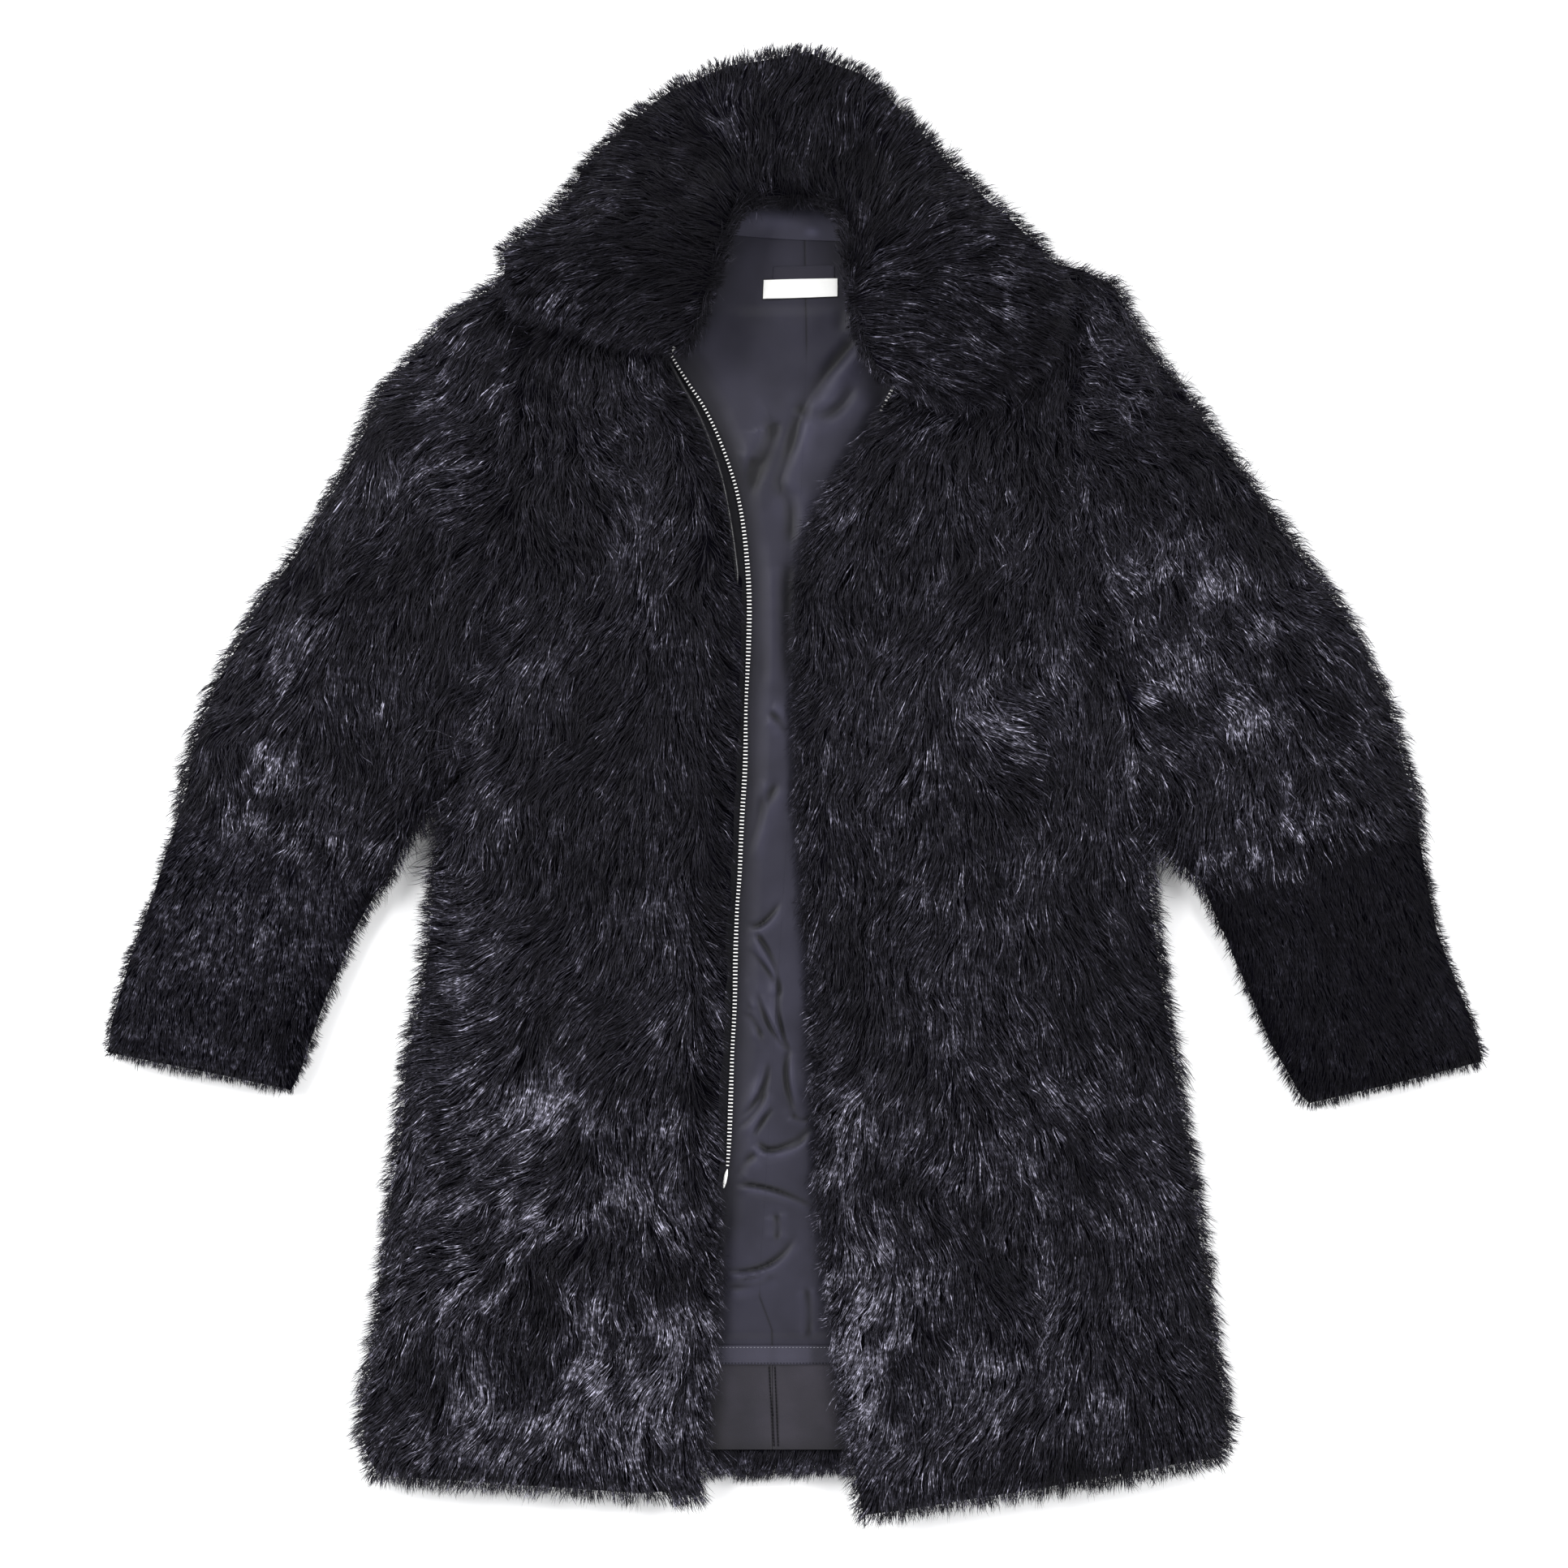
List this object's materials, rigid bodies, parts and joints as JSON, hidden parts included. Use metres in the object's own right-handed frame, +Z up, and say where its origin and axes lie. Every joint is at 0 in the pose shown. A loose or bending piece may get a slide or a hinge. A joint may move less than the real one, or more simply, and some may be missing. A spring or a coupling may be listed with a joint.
{
  "type": "shearling coat",
  "caption": "Black long-haired shearling coat laid flat on its back, front open, with a wide fur collar fanned out, satin lining and an open zip.",
  "frame": {"origin": "middle of the bounding box on the surface the coat lies on", "axes": "+X to the wearer's left, +Y towards the collar, +Z up from the surface the back lies on"},
  "size_m": [0.954, 1.0176, 0.0763],
  "materials": {
    "long_fur": "long soft pile, satin sheen",
    "short_fur": "short dense pile, matt",
    "lining": "satin weave",
    "leather": "smooth, semi-matt",
    "ribbon": "ribbed ribbon, matt",
    "tape": "woven tape, matt",
    "brass": "pale antique metal, satin",
    "label_dark": "woven, matt",
    "label_white": "woven, matt"
  },
  "bodies": {
    "root": {"back_panel": "long_fur", "collar_top": "long_fur", "collar_under": "long_fur", "cuff_top_left": "short_fur", "cuff_top_right": "short_fur", "cuff_under_left": "short_fur", "cuff_under_right": "short_fur", "front_lower_left": "long_fur", "front_lower_right": "long_fur", "front_upper_left": "long_fur", "front_upper_right": "long_fur", "hem_facing_left": "leather", "hem_facing_right": "leather", "hem_ribbon": "ribbon", "label_dark": "label_dark", "label_white": "label_white", "lining_left": "lining", "lining_right": "lining", "neck_band": "leather", "piping_right": "leather", "sleeve_top_left": "long_fur", "sleeve_top_right": "long_fur", "sleeve_under_left": "long_fur", "sleeve_under_right": "long_fur", "zip_box_left": "brass", "zip_chain_left": "brass", "zip_chain_right": "brass", "zip_pin_right": "brass", "zip_slider_left": "brass", "zip_tape_left": "tape", "zip_tape_right": "tape"}
  },
  "joints": []
}
